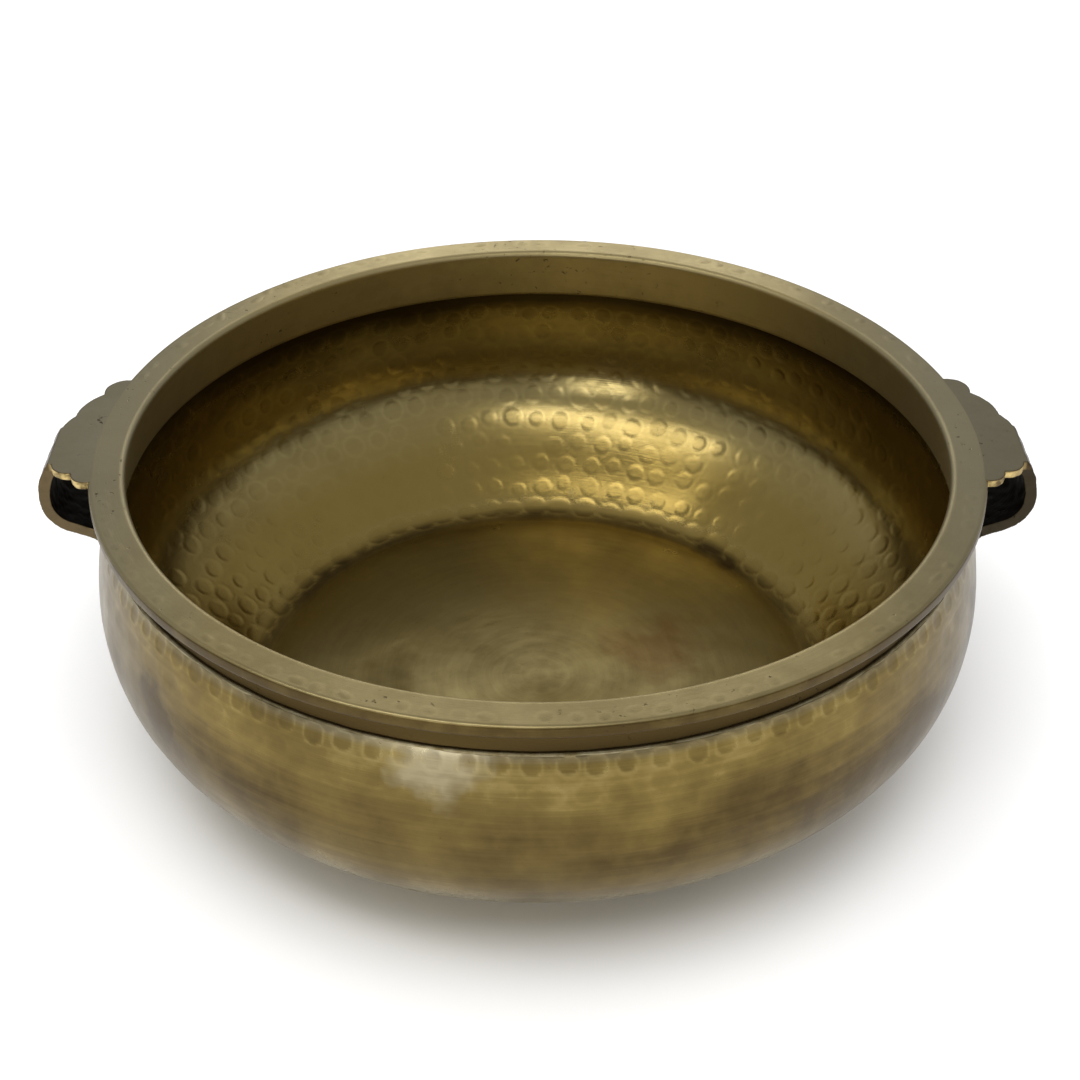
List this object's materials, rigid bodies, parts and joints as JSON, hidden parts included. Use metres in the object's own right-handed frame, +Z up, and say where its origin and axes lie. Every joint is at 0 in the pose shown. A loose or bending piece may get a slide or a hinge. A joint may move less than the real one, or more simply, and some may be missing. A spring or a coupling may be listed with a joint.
{
  "type": "urli bowl",
  "caption": "Wide, low hammered brass bowl with a flat turned rim collar and a pair of scalloped cast loop handles; stands on its flat base and holds water, flowers or food.",
  "frame": {"origin": "centre of the flat base, on the surface that the bowl stands on", "axes": "+Z up along the bowl's axis; +X towards handle_right and -X towards handle_left; +Y across the bowl"},
  "size_m": [0.4592, 0.4152, 0.145],
  "materials": {
    "hammered_brass": "hand-hammered brass with an aged olive-gold patina",
    "turned_brass": "turned and filed brass, satin, with fine casting pores",
    "cast_brass": "sand-cast brass, greyer, dark inside the loops, bright on filed edges",
    "braze": "dark brazing brass, uneven bead"
  },
  "bodies": {
    "root": {"bowl_body": "hammered_brass", "rim_collar": "turned_brass", "mouth_seam": "braze", "handle_left": "cast_brass", "handle_right": "cast_brass", "rim_braze_left": "braze", "rim_braze_right": "braze", "foot_braze_left": "braze", "foot_braze_right": "braze"}
  },
  "joints": []
}
